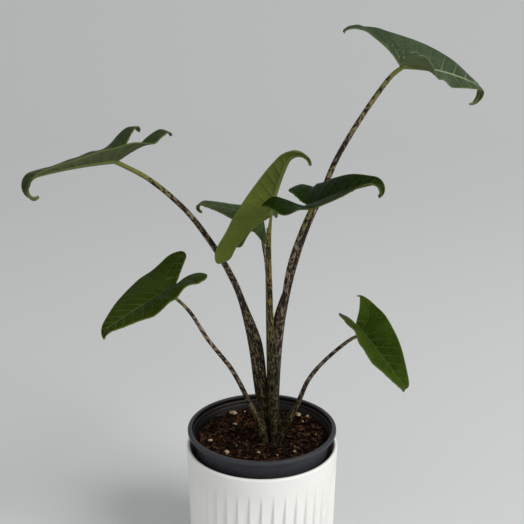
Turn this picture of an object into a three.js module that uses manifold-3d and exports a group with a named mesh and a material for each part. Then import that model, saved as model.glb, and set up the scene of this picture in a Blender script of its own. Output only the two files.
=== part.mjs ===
// Potted alocasia zebrina: a pleated cover pot, a black nursery pot, soil, and seven leaves, each of them
// a stalk and a blade. Millimetres, +Z up, +Y away from the front.
// The origin is the centre of the cover pot's underside.
import * as THREE from "three";
import { mergeGeometries, mergeVertices } from "three/addons/utils/BufferGeometryUtils.js";
import Module from "manifold-3d";

const wasm = await Module();
wasm.setup();

// Driving dimensions
const GAP = 0.3;
const BLADE_GAP = 0.4;
const COVER = {
  height: 106.5,
  rimRadius: 61.2,
  wall: 3.2,
  floor: 5,
  taper: 1.5,
  band: 14.5,
  foot: 8,
  rimRound: 1.1,
  pleats: 40,
  pleatDepth: 2,
  pleatRun: 28,
};
const PLEAT_END = 3;
const NURSERY = {
  top: 121,
  lipRadius: 60,
  lipWidth: 3.8,
  lipHeight: 3,
  wallRadius: 55.3,
  footRadius: 44,
  wall: 1.4,
  shelf: 7,
  holes: 6,
  holeRadius: 4.5,
  holeCircle: 28,
};
const SOIL = {
  level: 107.5,
  swell: 0.9,
  heap: 4,
  heapAt: [-38, -4],
  heapSpread: 17,
  perlite: 16,
  bark: 22,
  clearOfCrown: 15,
  clearOfWall: 5,
  seed: 7,
};
const CROWN = [7, 0];
const STALK = { sides: 12, rings: 18, wingPower: 4, wingAtFoot: 0.15, foot: 97, shortOfBlade: 1.2 };
const BLADE = {
  thickness: 0.8,
  rib: 1.3,
  across: 5,
  lobeRows: 6,
  frontRows: 15,
  tipRows: 1.6,
  tipWidth: 0.5,
  slices: 40,
  riseOver: 13,
  droopFrom: 0.74,
  tipPower: 1.3,
};

// Half a blade's outline. Each row: share of the front length (of the lobe length behind the stalk),
// then the share of the half's width in a flared blade and in a round one. The sinus edge has rows alike.
const MARGIN = [
  [-1, 1.2, 0.5],
  [-0.95, 1.3, 0.64],
  [-0.72, 1.33, 0.83],
  [-0.47, 1.27, 0.92],
  [-0.2, 1.13, 0.98],
  [0, 1, 1],
  [0.2, 0.82, 0.95],
  [0.4, 0.62, 0.8],
  [0.6, 0.41, 0.57],
  [0.78, 0.24, 0.34],
  [0.9, 0.12, 0.16],
  [0.96, 0.055, 0.07],
  [1, 0, 0],
];
const SINUS = [[-0.9, 1.14, 0.33], [-0.65, 0.97, 0.19], [-0.42, 0.72, 0.1], [-0.22, 0.4, 0.04]];
const LOBE_KNOTS = MARGIN.findIndex(([share]) => share === 0) / (MARGIN.length - 1);
const FOLD_STOPS = [-1, -0.5, 0, 0.2, 0.5, 1];

// Each leaf: the stalk's route from soil to blade, its radii and its sheath, then the blade.
// aim is the azimuth, elevation and roll of the midrib. half is the width of the left and the right half.
// flare shapes the margin and cleft the sinus edge, both between round (0) and flared (1).
// fold holds how steeply a half rises sideways at each of FOLD_STOPS, shares like those of MARGIN.
// lobe is a back lobe's length, the droop of its end and its extra rise.
// web is how far the lobes stay joined behind the stalk, and rise is how steeply both rise from there.
const LEAVES = [
  {
    name: "middle",
    color: 0x56662a,
    stalkColor: 0x7c7444,
    route: [
      [7, 1, 97], [7, 0.5, 118], [6.5, -1, 154], [7, -6, 200], [6, -12, 236],
      [5, -17, 270], [5, -21, 291], [6, -24, 309],
    ],
    radii: [2.9, 1.8],
    sheath: { azimuth: 90, top: 150, wide: 135, reach: 0.6 },
    aim: [305, 75, 42],
    front: 71,
    half: [24, 24],
    flare: 1.3,
    cleft: 0.85,
    web: 2.5,
    rise: 0,
    bend: 20,
    tip: { from: 0.62, curl: 150 },
    left: { fold: [60, 60, 60, 60, 50, -20], curl: 10, lobe: [48, 0, 0] },
    right: { fold: [72, 74, 75, 75, 75, 40], curl: 10, lobe: [45, 10, 0] },
    wave: { height: 0.5, count: 2.5 },
  },
  {
    name: "back",
    color: 0x33502a,
    stalkColor: 0x4d4a30,
    route: [
      [8, 7, 97], [8, 7.5, 118], [6, 9, 150], [5, 13, 200], [4, 20, 248], [1, 28, 268],
      [-1, 34, 289],
    ],
    radii: [2.2, 1.2],
    sheath: { azimuth: 270, top: 175, wide: 135, reach: 1.2 },
    aim: [155, 6, 0],
    front: 66,
    half: [16, 16],
    flare: 0.5,
    cleft: 0.5,
    web: 2,
    rise: -50,
    bend: 4,
    tip: { from: 0.76, curl: 185 },
    left: { fold: [-45, -40, -25, -4, 2, 0], curl: 30, lobe: [14, 10, -25] },
    right: { fold: [10, 20, 25, 18, 10, 10], curl: 30, lobe: [10, 90, 0] },
    wave: { height: 0.5, count: 2.5 },
  },
  {
    name: "tall",
    color: 0x2e4a2a,
    stalkColor: 0x5b4c3a,
    route: [
      [11.5, 3.5, 97], [11.5, 4, 118], [11, 4.5, 143], [13, 5, 186], [17, 8, 219],
      [24, 11, 252], [34, 16, 283], [46, 21, 310], [57, 27, 336], [75, 34, 366],
      [96, 41, 395], [108, 45, 405],
    ],
    radii: [3.2, 1.7],
    sheath: { azimuth: 200, top: 247, wide: 205, reach: 5 },
    aim: [42, -9, 20],
    front: 134,
    half: [31, 22],
    flare: 1,
    cleft: 1.1,
    web: 2.5,
    rise: 29,
    bend: 20,
    tip: { from: 0.78, curl: 175 },
    left: { fold: [4, 20, 40, 38, 38, 0], curl: 15, lobe: [40, 92, 0] },
    right: { fold: [50, 63, 69, 18, -30, 0], curl: 40, lobe: [34, 25, 0] },
    wave: { height: 0.6, count: 3 },
  },
  {
    name: "right",
    color: 0x1f3a18,
    stalkColor: 0x6a5a45,
    route: [
      [10.5, -3, 97], [10.5, -4, 118], [10, -7, 148], [12, -13, 186], [15, -19, 222],
      [20, -29, 266], [28, -37, 297], [37, -45, 323],
    ],
    radii: [2.8, 1.6],
    sheath: { azimuth: 165, top: 232, wide: 190, reach: 3.5 },
    aim: [-37, 33, 0],
    front: 71,
    half: [22, 22],
    flare: 0.7,
    cleft: 0.15,
    web: 3,
    rise: 50,
    bend: 16,
    tip: { from: 0.74, curl: 160 },
    left: { fold: [16, 28, 44, 47, 48, 20], curl: 20, lobe: [32, 50, -3] },
    right: { fold: [2, 12, 12, 0, -4, 20], curl: 25, lobe: [34, 40, 0] },
    wave: { height: 0.8, count: 2.5 },
  },
  {
    name: "left",
    color: 0x31492a,
    stalkColor: 0x5a4a36,
    route: [
      [4, 3, 97], [2.5, 2, 118], [-3, -1, 154], [-8, -3, 194], [-16, -3, 232],
      [-26, -4, 257], [-40, -8, 283], [-57, -18, 310], [-81, -32, 337], [-105, -45, 355],
    ],
    radii: [3.3, 1.6],
    sheath: { azimuth: 0, top: 238, wide: 190, reach: 6 },
    aim: [225, 7, 0],
    front: 95,
    half: [24, 24],
    flare: 0.45,
    cleft: 0.45,
    web: 2.5,
    rise: 36,
    bend: 12,
    tip: { from: 0.67, curl: 197 },
    left: { fold: [0, 20, 48, 44, 35, 20], curl: 12, lobe: [46, 120, 14] },
    right: { fold: [0, 8, 15, 8, 0, 0], curl: 20, lobe: [48, 115, 6] },
    wave: { height: 0.6, count: 2.5 },
  },
  {
    name: "low_right",
    color: 0x2f4a20,
    stalkColor: 0x5d5338,
    route: [
      [13, -4, 97], [15, -5, 112], [22, -12, 133], [29, -20, 154], [36, -28, 176],
      [48, -36, 196], [66, -45, 217], [76, -50, 223],
    ],
    radii: [2.5, 1.1],
    sheath: { azimuth: 135, top: 152, wide: 122, reach: 4.1 },
    aim: [-50, -30, 25],
    front: 57,
    half: [22, 21],
    flare: 0.25,
    cleft: 0.5,
    web: 11,
    rise: 3,
    bend: 10,
    tip: { from: 0.83, curl: 190 },
    left: { fold: [10, 12, 15, 12, 10, 0], curl: 25, lobe: [30, 15, 0] },
    right: { fold: [66, 74, 76, 64, 48, 30], curl: 30, lobe: [20, 15, 18] },
    wave: { height: 0.7, count: 2.5 },
  },
  {
    name: "low_left",
    color: 0x2c4420,
    stalkColor: 0x6b5f49,
    route: [
      [2, -4, 97], [0, -6, 112], [-4, -11, 132], [-11, -19, 154], [-23, -30, 185],
      [-40, -42, 215], [-54, -53, 244], [-69, -60, 262],
    ],
    radii: [2.6, 1.1],
    sheath: { azimuth: 45, top: 150, wide: 120, reach: 4.6 },
    aim: [226, -10, 0],
    front: 66,
    half: [26, 27],
    flare: 0.25,
    cleft: 0.2,
    web: 9,
    rise: 12,
    bend: 5,
    tip: { from: 0.82, curl: 90 },
    left: { fold: [28, 42, 49, 38, 14, -5], curl: 50, lobe: [25, 30, 8] },
    right: { fold: [25, 22, 19, 17, 16, 5], curl: 25, lobe: [37, 10, 0] },
    wave: { height: 0.7, count: 2.5 },
  },
];

const radians = THREE.MathUtils.degToRad;
const lerp = THREE.MathUtils.lerp;
const clamp = THREE.MathUtils.clamp;
const ease = (share) => THREE.MathUtils.smoothstep(share, 0, 1);

// Solids

function withoutEmptyTriangles(index) {
  const kept = [];
  for (let i = 0; i < index.length; i += 3) {
    const [a, b, c] = [index[i], index[i + 1], index[i + 2]];
    if (a !== b && b !== c && c !== a) kept.push(a, b, c);
  }
  return new Uint32Array(kept);
}

function solidOf(geometry) {
  const bare = geometry.clone();
  bare.deleteAttribute("normal");
  bare.deleteAttribute("uv");
  const joined = mergeVertices(bare, 1e-4);
  const vertProperties = new Float32Array(joined.attributes.position.array);
  return new wasm.Manifold(
    new wasm.Mesh({ numProp: 3, vertProperties, triVerts: withoutEmptyTriangles(joined.index.array) }),
  );
}

function geometryOf(solid) {
  const made = solid.getMesh();
  return new THREE.BufferGeometry()
    .setAttribute("position", new THREE.BufferAttribute(made.vertProperties, 3))
    .setIndex(new THREE.BufferAttribute(made.triVerts, 1));
}

function largestBody(solid) {
  return solid.decompose().reduce((best, body) => (body.volume() > best.volume() ? body : best));
}

function moveVertices(geometry, place) {
  const position = geometry.attributes.position;
  const point = new THREE.Vector3();
  for (let i = 0; i < position.count; i++) {
    point.fromBufferAttribute(position, i);
    place(point, i);
    position.setXYZ(i, point.x, point.y, point.z);
  }
  return geometry;
}

// A solid of revolution round Z from [radius, height] points, bottom of the axis to top of the axis.
function turned(profile, segments) {
  const points = profile.map(([radius, height]) => new THREE.Vector2(radius, height));
  return new THREE.LatheGeometry(points, segments).rotateX(Math.PI / 2);
}

function seededRandom(seed) {
  let state = seed;
  return () => {
    state = (state * 16807) % 2147483647;
    return state / 2147483647;
  };
}

// Pots

function coverRadius(height) {
  return COVER.rimRadius - (COVER.height - height) * Math.tan(radians(COVER.taper));
}

// Each pleat sinks slowly from its ridge and rises steeply to the next one, deeper towards the foot.
function pleatShare(angle) {
  const phase = ((angle / (2 * Math.PI)) * COVER.pleats + 1e-6) % 1;
  return phase < 1e-3 ? 0 : Math.min(1.5 * phase, 3 * (1 - phase));
}

function pleatDepth(height) {
  const start = COVER.height - COVER.band;
  const deepen = clamp((start - height) / COVER.pleatRun, 0, 1);
  const end = clamp((height - COVER.foot) / PLEAT_END, 0, 1);
  return COVER.pleatDepth * deepen * end;
}

function coverPot() {
  const { height, wall, floor, band, foot, rimRound, pleatRun } = COVER;
  const start = height - band;
  const pleatHeights = [foot, foot + PLEAT_END, start - pleatRun, start - pleatRun / 2, start];
  const profile = [
    [0, 0],
    [coverRadius(0) - rimRound, 0],
    [coverRadius(0), rimRound],
    ...pleatHeights.map((z) => [coverRadius(z), z]),
    [coverRadius(height), height - rimRound],
    [coverRadius(height) - rimRound, height],
    [coverRadius(height) - wall + rimRound, height],
    [coverRadius(height) - wall, height - rimRound],
    [coverRadius(floor) - wall, floor],
    [0, floor],
  ];
  const pot = turned(profile, COVER.pleats * 3);
  return moveVertices(pot, (point) => {
    const radius = Math.hypot(point.x, point.y);
    const onOutside = radius > coverRadius(point.z) - 0.5 && point.z < height - rimRound - 0.1;
    if (!onOutside) return;
    const angle = Math.atan2(point.y, point.x) + Math.PI;
    const shrink = 1 - (pleatDepth(point.z) * pleatShare(angle)) / radius;
    point.x *= shrink;
    point.y *= shrink;
  });
}

const nurseryFoot = COVER.floor + GAP;

function nurseryInnerRadius(height) {
  const share = (height - nurseryFoot) / (NURSERY.top - NURSERY.lipHeight - nurseryFoot);
  return lerp(NURSERY.footRadius, NURSERY.wallRadius, share) - NURSERY.wall;
}

function nurseryPot() {
  const { top, lipRadius, lipWidth, lipHeight, wallRadius, footRadius, wall, shelf } = NURSERY;
  const lipInner = lipRadius - lipWidth;
  const profile = [
    [0, nurseryFoot],
    [footRadius, nurseryFoot],
    [wallRadius, top - lipHeight],
    [lipRadius - 0.8, top - lipHeight],
    [lipRadius, top - lipHeight + 1],
    [lipRadius, top - 1.2],
    [lipRadius - 1.2, top],
    [lipInner + 1, top],
    [lipInner, top - 1],
    [lipInner - 0.6, top - lipHeight + 0.6],
    [nurseryInnerRadius(top - shelf) + 0.1, top - shelf + 1],
    [nurseryInnerRadius(top - shelf), top - shelf],
    [nurseryInnerRadius(nurseryFoot + wall), nurseryFoot + wall],
    [0, nurseryFoot + wall],
  ];
  let pot = solidOf(turned(profile, 52));
  const { holes, holeRadius, holeCircle } = NURSERY;
  const drill = new THREE.CylinderGeometry(holeRadius, holeRadius, 4 * wall, 12).rotateX(Math.PI / 2);
  for (let i = 0; i < holes; i++) {
    const angle = (i / holes) * 2 * Math.PI;
    const [x, y] = [Math.cos(angle) * holeCircle, Math.sin(angle) * holeCircle];
    pot = pot.subtract(solidOf(drill.clone().translate(x, y, nurseryFoot)));
  }
  return pot;
}

// Soil

function soilHeight(x, y) {
  const [heapX, heapY] = SOIL.heapAt;
  const heap = SOIL.heap * Math.exp(-((x - heapX) ** 2 + (y - heapY) ** 2) / SOIL.heapSpread ** 2);
  const swell = Math.sin(x / 6.1 + 1) * Math.cos(y / 5.3) + 0.6 * Math.sin(x / 3.3 - y / 4.1);
  return SOIL.level + heap + SOIL.swell * swell;
}

const GRAINS = {
  perlite: { smallest: 1.6, spread: 1.4, stretch: [1.2, 0.9, 0.8], Shape: THREE.IcosahedronGeometry },
  bark: { smallest: 2.4, spread: 1.8, stretch: [1.9, 0.8, 0.4], Shape: THREE.OctahedronGeometry },
};

function soilGrain(kind, random) {
  const { smallest, spread, stretch, Shape } = GRAINS[kind];
  const grain = new Shape(smallest + spread * random(), 0);
  const reach = nurseryInnerRadius(SOIL.level) - SOIL.clearOfWall;
  let place = [0, 0];
  do {
    const radius = reach * Math.sqrt(random());
    const angle = 2 * Math.PI * random();
    place = [radius * Math.cos(angle), radius * Math.sin(angle)];
  } while (Math.hypot(place[0] - CROWN[0], place[1] - CROWN[1]) < SOIL.clearOfCrown);
  grain.scale(...stretch);
  grain.rotateX(0.5 * (random() - 0.5));
  grain.rotateY(0.5 * (random() - 0.5));
  grain.rotateZ(2 * Math.PI * random());
  return grain.translate(place[0], place[1], soilHeight(...place) + 0.2);
}

function soilBody() {
  const bottom = nurseryFoot + NURSERY.wall + GAP;
  const rim = nurseryInnerRadius(SOIL.level) - GAP;
  const rings = 7;
  const profile = [[0, bottom], [nurseryInnerRadius(bottom) - GAP, bottom], [rim, SOIL.level]];
  for (let ring = rings - 1; ring >= 0; ring--) profile.push([(rim * ring) / rings, SOIL.level]);
  const body = turned(profile, 32);
  moveVertices(body, (point) => {
    if (point.z > SOIL.level - 0.1) point.z = soilHeight(point.x, point.y);
  });
  const random = seededRandom(SOIL.seed);
  let soil = solidOf(body);
  for (const kind of ["perlite", "bark"])
    for (let i = 0; i < SOIL[kind]; i++) soil = soil.add(solidOf(soilGrain(kind, random)));
  return soil;
}

// Stalks

// How far the sheath's wing stands out from the stalk at a height.
function wingReach(sheath, height) {
  if (height > sheath.wide) return sheath.reach * ease((sheath.top - height) / (sheath.top - sheath.wide));
  const share = ease((height - STALK.foot) / (sheath.wide - STALK.foot));
  return sheath.reach * lerp(STALK.wingAtFoot, 1, share);
}

function stalkSolid(leaf, clearance) {
  const points = leaf.route.map((point) => new THREE.Vector3(...point));
  const [beforeTop, top] = points.slice(-2);
  top.addScaledVector(top.clone().sub(beforeTop).normalize(), -STALK.shortOfBlade);
  const route = new THREE.CatmullRomCurve3(points, false, "catmullrom", 0.5);
  const azimuth = radians(leaf.sheath.azimuth);
  const facing = new THREE.Vector3(Math.cos(azimuth), Math.sin(azimuth), 0);
  const tube = new THREE.CylinderGeometry(1, 1, 1, STALK.sides, STALK.rings);
  moveVertices(tube, (point) => {
    const share = point.y + 0.5;
    const centre = route.getPoint(share);
    const tangent = route.getTangent(share);
    const wingward = facing.clone().addScaledVector(tangent, -facing.dot(tangent)).normalize();
    const sideways = tangent.clone().cross(wingward);
    const wing = wingReach(leaf.sheath, centre.z) * Math.max(0, point.z) ** STALK.wingPower;
    const radius = lerp(...leaf.radii, share) + wing + clearance;
    if (share < 0.001) centre.addScaledVector(tangent, -clearance);
    centre.addScaledVector(sideways, point.x * radius).addScaledVector(wingward, point.z * radius);
    point.copy(centre);
  });
  return solidOf(tube);
}

// Blades

// The knots of an outline in a leaf's own sizes: along the midrib, and out from it. A sinus edge starts
// where the joined length ends.
function outlineKnots(leaf, half, rows, flare, joined) {
  return rows.map(([share, flared, rounded]) => {
    const length = share < 0 ? half.lobe[0] - joined : leaf.front;
    const width = Math.max(0, lerp(rounded, flared, flare)) * half.width;
    return new THREE.Vector3(share * length - joined, width, 0);
  });
}

function smoothCurve(knots) {
  return new THREE.CatmullRomCurve3(knots, false, "catmullrom", 0.5);
}

for (const leaf of LEAVES)
  [leaf.left, leaf.right].forEach((half, i) => {
    half.width = leaf.half[i];
    const margin = outlineKnots(leaf, half, MARGIN, leaf.flare, 0);
    const notch = outlineKnots(leaf, half, SINUS, leaf.cleft, leaf.web);
    half.margin = smoothCurve(margin);
    half.sinus = smoothCurve([margin[0], ...notch, new THREE.Vector3(-leaf.web, 0, 0)]);
  });

const lobeShare = BLADE.lobeRows / (BLADE.lobeRows + BLADE.frontRows);

// Where a point of the sheet's grid lies on the flat blade: along the midrib, and out from it.
function flatPoint(leaf, half, along, across) {
  if (along <= lobeShare + 1e-9) {
    const share = clamp(along / lobeShare, 0, 1);
    const point = half.sinus.getPoint(share).lerp(half.margin.getPoint(share * LOBE_KNOTS), across);
    return [point.x, Math.max(0, point.y)];
  }
  const forward = (along - lobeShare) / (1 - lobeShare);
  const ribShare = 1 - (1 - forward) ** BLADE.tipRows;
  const margin = half.margin.getPoint(lerp(LOBE_KNOTS, 1, forward));
  const width = Math.max(margin.y, BLADE.tipWidth);
  return [lerp(lerp(-leaf.web, leaf.front, ribShare), margin.x, across), width * across];
}

// Follows a pitch angle along a length and returns where it ends: forward, up and the last pitch.
function followPitch(length, share, pitchAt) {
  let [forward, up] = [0, 0];
  const slice = share / BLADE.slices;
  for (let i = 0; i < BLADE.slices; i++) {
    const pitch = pitchAt((i + 0.5) * slice);
    forward += Math.cos(pitch) * slice * length;
    up += Math.sin(pitch) * slice * length;
  }
  return [forward, up, pitchAt(share)];
}

function frontSpine(leaf, share) {
  const { from, curl } = leaf.tip;
  const pitchAt = (s) => {
    const inTip = clamp((s - from) / (1 - from), 0, 1);
    return -radians(leaf.bend * s + curl * inTip ** BLADE.tipPower);
  };
  return followPitch(leaf.front, share, pitchAt);
}

// The lobes rise alike while they are joined, then each in its own way, and droop towards their ends.
function lobeSpine(leaf, half, share) {
  const [length, droop, lift] = half.lobe;
  const pitchAt = (s) => {
    const risen = Math.min(1, (s * length) / BLADE.riseOver);
    const lifted = clamp((s * length - leaf.web) / BLADE.riseOver, 0, 1);
    const inEnd = clamp((s - BLADE.droopFrom) / (1 - BLADE.droopFrom), 0, 1);
    return radians(leaf.rise * risen + lift * lifted - droop * inEnd ** BLADE.tipPower);
  };
  const [back, up] = followPitch(length, share, pitchAt);
  return [-back, up, 0];
}

function foldAngle(half, share) {
  const next = clamp(FOLD_STOPS.findIndex((stop) => stop >= share), 1, FOLD_STOPS.length - 1);
  const within = (share - FOLD_STOPS[next - 1]) / (FOLD_STOPS[next] - FOLD_STOPS[next - 1]);
  return radians(lerp(half.fold[next - 1], half.fold[next], ease(within)));
}

function bladeFrame(leaf) {
  const [azimuth, elevation, roll] = leaf.aim.map(radians);
  const level = Math.cos(elevation);
  const ahead = [Math.cos(azimuth) * level, Math.sin(azimuth) * level, Math.sin(elevation)];
  const forward = new THREE.Vector3(...ahead);
  const leftward = new THREE.Vector3(0, 0, 1).cross(forward).normalize().applyAxisAngle(forward, roll);
  const upward = forward.clone().cross(leftward);
  const origin = new THREE.Vector3(...leaf.route[leaf.route.length - 1]);
  return new THREE.Matrix4().makeBasis(forward, leftward, upward).setPosition(origin);
}

// A point of the blade's upper face in the leaf's own frame: hand is 1 for the left half, -1 for the right.
function bladePoint(leaf, hand, along, across) {
  const half = hand > 0 ? leaf.left : leaf.right;
  const [x, y] = flatPoint(leaf, half, along, across);
  const share = clamp(x < 0 ? x / half.lobe[0] : x / leaf.front, -1, 1);
  const [forward, up, pitch] = x < 0 ? lobeSpine(leaf, half, -share) : frontSpine(leaf, share);
  const fold = foldAngle(half, share);
  const curl = radians(half.curl);
  const outward = y / half.width;
  const width = (half.width / curl) * (Math.sin(fold) - Math.sin(fold - curl * outward));
  const lift = (half.width / curl) * (Math.cos(fold - curl * outward) - Math.cos(fold));
  const phase = (leaf.wave.count * (share + 1)) / 2 + (hand > 0 ? 0.25 : 0);
  const height = lift + leaf.wave.height * outward ** 2 * Math.sin(2 * Math.PI * phase);
  return new THREE.Vector3(forward - Math.sin(pitch) * height, hand * width, up + Math.cos(pitch) * height);
}

function halfSheet(leaf, hand) {
  const rows = BLADE.lobeRows + BLADE.frontRows;
  const sheet = new THREE.PlaneGeometry(1, 1, BLADE.across, rows).translate(-hand / 2, 0.5, 0);
  const ribs = new Float32Array(sheet.attributes.position.count);
  moveVertices(sheet, (point, i) => {
    const along = point.y;
    const across = Math.abs(point.x);
    const onRib = across < 1e-6 && along >= lobeShare - 1e-6;
    ribs[i] = onRib ? BLADE.rib * (1.1 - along) : 0;
    point.copy(bladePoint(leaf, hand, along, across));
  });
  return sheet.setAttribute("rib", new THREE.BufferAttribute(ribs, 1));
}

// The edges that only one triangle of a sheet uses, as [from, to] pairs.
function openEdges(index) {
  const edges = new Set();
  for (let i = 0; i < index.length; i += 3) {
    const [a, b, c] = [index[i], index[i + 1], index[i + 2]];
    for (const edge of [[a, b], [b, c], [c, a]]) edges.add(edge.join());
  }
  const pairs = [...edges].map((edge) => edge.split(",").map(Number));
  return pairs.filter(([a, b]) => !edges.has([b, a].join()));
}

// Gives a sheet its thickness: an upper face, a lower face split alike, and a rim round every open edge.
// With a clearance the solid grows by it on every side.
function thicken(sheet, clearance) {
  const index = withoutEmptyTriangles(sheet.index.array);
  const rim = openEdges(index);
  const { position, normal, rib } = sheet.attributes;
  const count = position.count;
  const vectorAt = (attribute) => (_, i) => new THREE.Vector3().fromBufferAttribute(attribute, i);
  const points = Array.from({ length: count }, vectorAt(position));
  const normals = Array.from({ length: count }, vectorAt(normal));
  const sideways = points.map(() => new THREE.Vector3());
  for (const [a, b] of rim) {
    const outward = points[b].clone().sub(points[a]).cross(normals[a]).normalize();
    sideways[a].add(outward);
    sideways[b].add(outward);
  }
  const vertices = new Float32Array(count * 6);
  points.forEach((point, i) => {
    const under = BLADE.thickness + rib.getX(i) + clearance;
    const middle = point.clone().addScaledVector(sideways[i].normalize(), clearance);
    middle.clone().addScaledVector(normals[i], clearance).toArray(vertices, 3 * i);
    middle.clone().addScaledVector(normals[i], -under).toArray(vertices, 3 * (count + i));
  });
  const faces = [...index];
  for (let i = 0; i < index.length; i += 3)
    faces.push(index[i + 2] + count, index[i + 1] + count, index[i] + count);
  for (const [a, b] of rim) faces.push(b, a, a + count, b, a + count, b + count);
  return new THREE.BufferGeometry()
    .setAttribute("position", new THREE.BufferAttribute(vertices, 3))
    .setIndex(faces);
}

function bladeSolid(leaf, clearance) {
  const sheet = mergeGeometries([halfSheet(leaf, 1), halfSheet(leaf, -1)]);
  sheet.deleteAttribute("normal");
  sheet.deleteAttribute("uv");
  const joined = mergeVertices(sheet, 1e-3);
  joined.computeVertexNormals();
  return solidOf(thicken(joined, clearance).applyMatrix4(bladeFrame(leaf)));
}

// Assembly

function addNode(group, name, shape, color, roughness) {
  const geometry = shape.isBufferGeometry ? shape : geometryOf(shape);
  const mesh = new THREE.Mesh(geometry, new THREE.MeshStandardMaterial({ color, roughness, metalness: 0 }));
  mesh.name = name;
  group.add(mesh);
}

function pottedAlocasia() {
  const group = new THREE.Group();
  group.name = "potted_alocasia_zebrina";
  let soil = soilBody();
  let earlier = null;
  for (const leaf of LEAVES) {
    const blade = bladeSolid(leaf, 0);
    let stalk = stalkSolid(leaf, 0).subtract(bladeSolid(leaf, BLADE_GAP)).subtract(blade);
    if (earlier) stalk = stalk.subtract(earlier);
    const space = stalkSolid(leaf, GAP);
    earlier = earlier ? earlier.add(space) : space;
    soil = soil.subtract(space);
    addNode(group, "stalk_" + leaf.name, largestBody(stalk), leaf.stalkColor, 0.5);
    addNode(group, "leaf_" + leaf.name, blade, leaf.color, 0.35);
  }
  addNode(group, "soil", largestBody(soil), 0x35261c, 0.95);
  addNode(group, "nursery_pot", nurseryPot(), 0x2a2c2e, 0.45);
  addNode(group, "cover_pot", coverPot(), 0xe4e4e2, 0.4);
  return group;
}

export default pottedAlocasia();
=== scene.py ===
"""Potted alocasia zebrina.

Arrow-shaped leaves on banded stalks grow in a black nursery pot that stands in a pleated white cover pot.
"""

import math

import bmesh
import bpy
from mathutils import Matrix, Vector, noise


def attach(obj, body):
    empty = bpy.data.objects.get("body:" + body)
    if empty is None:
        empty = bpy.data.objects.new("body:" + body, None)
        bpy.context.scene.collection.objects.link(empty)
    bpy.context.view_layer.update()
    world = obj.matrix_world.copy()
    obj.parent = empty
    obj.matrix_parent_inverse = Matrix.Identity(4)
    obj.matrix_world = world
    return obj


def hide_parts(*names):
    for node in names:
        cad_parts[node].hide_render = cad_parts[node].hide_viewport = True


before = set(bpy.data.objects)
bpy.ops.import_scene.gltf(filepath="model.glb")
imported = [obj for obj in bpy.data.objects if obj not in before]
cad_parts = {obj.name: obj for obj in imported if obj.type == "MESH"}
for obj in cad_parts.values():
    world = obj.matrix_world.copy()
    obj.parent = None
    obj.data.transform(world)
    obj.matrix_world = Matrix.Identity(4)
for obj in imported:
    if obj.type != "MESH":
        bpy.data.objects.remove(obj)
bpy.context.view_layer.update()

# Driving dimensions in millimetres, the same as the solids have
MM = 0.001
COVER = {
    "height": 106.5,
    "rim_radius": 61.2,
    "wall": 3.2,
    "floor": 5.0,
    "taper": 1.5,
    "band": 14.5,
    "foot": 8.0,
    "pleats": 40,
    "pleat_depth": 2.0,
    "pleat_run": 28.0,
    "pleat_end": 3.0,
}
NURSERY = {
    "foot": 5.3,
    "top": 121.0,
    "lip_radius": 60.0,
    "lip_width": 3.8,
    "lip_height": 3.0,
    "wall_radius": 55.3,
    "foot_radius": 44.0,
    "wall": 1.4,
    "shelf": 7.0,
}
SOIL = {
    "level": 107.5,
    "swell": 0.9,
    "heap": 4.0,
    "heap_at": (-38.0, -4.0),
    "heap_spread": 17.0,
    "gap": 0.3,
}
CROWN = (7.0, 0.0)
STALK = {"wing_power": 4, "foot": 97.0}
BLADE = {
    "thickness": 0.8,
    "rib": 1.3,
    "tip_rows": 1.6,
    "tip_width": 0.5,
    "rise_over": 13.0,
    "droop_from": 0.74,
    "tip_power": 1.3,
}

# What the scene adds to those forms, in millimetres, and how finely each of them is divided
BLADE |= {"across": 36, "lobe_rows": 48, "front_rows": 110, "slices": 240}
STALK |= {
    "sides": 40, "rings": 260, "wing_at_foot": 0.55, "ridges": 9, "ridge": 0.05, "uneven": 0.09,
    "uneven_scale": 0.12, "seam": 0.5, "seam_width": 0.1, "collar": 0.35, "collar_width": 3.0,
    "pressed_from": 0.9, "under_blade": 0.45,
}
COVER |= {
    "steps_a_pleat": 24, "pleat_step": (0.06, 0.24), "pleat_power": 0.8, "pleats_below": 101,
    "levels": [2, 5, 8, 9, 10, 11, *range(14, 64, 4), *range(64, 94, 2), 96, 100, 103],
    "inner_levels": [98, 90, 70, 50, 30, 12, 8],
    "foot_round": 1.2, "floor_inset": 2, "underside_inset": 8,
}
NURSERY |= {"steps": 160, "under_round": 0.7, "outer_round": 1.3, "inner_round": 1.0, "neck_round": 0.6}
SOIL |= {"steps": 380, "rings": 78, "edge_rise": 3.0, "edge_width": 14.0, "shoulder": 3}

# Half a blade's outline: share of the length, then of the half width in a flared blade and in a round one
MARGIN = [
    (-1.0, 1.2, 0.5),
    (-0.95, 1.3, 0.64),
    (-0.72, 1.33, 0.83),
    (-0.47, 1.27, 0.92),
    (-0.2, 1.13, 0.98),
    (0.0, 1.0, 1.0),
    (0.2, 0.82, 0.95),
    (0.4, 0.62, 0.8),
    (0.6, 0.41, 0.57),
    (0.78, 0.24, 0.34),
    (0.9, 0.12, 0.16),
    (0.96, 0.055, 0.07),
    (1.0, 0.0, 0.0),
]
SINUS = [(-0.9, 1.14, 0.33), (-0.65, 0.97, 0.19), (-0.42, 0.72, 0.1), (-0.22, 0.4, 0.04)]
LOBE_KNOTS = [share for share, *_ in MARGIN].index(0) / (len(MARGIN) - 1)
FOLD_STOPS = (-1.0, -0.5, 0.0, 0.2, 0.5, 1.0)

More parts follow.
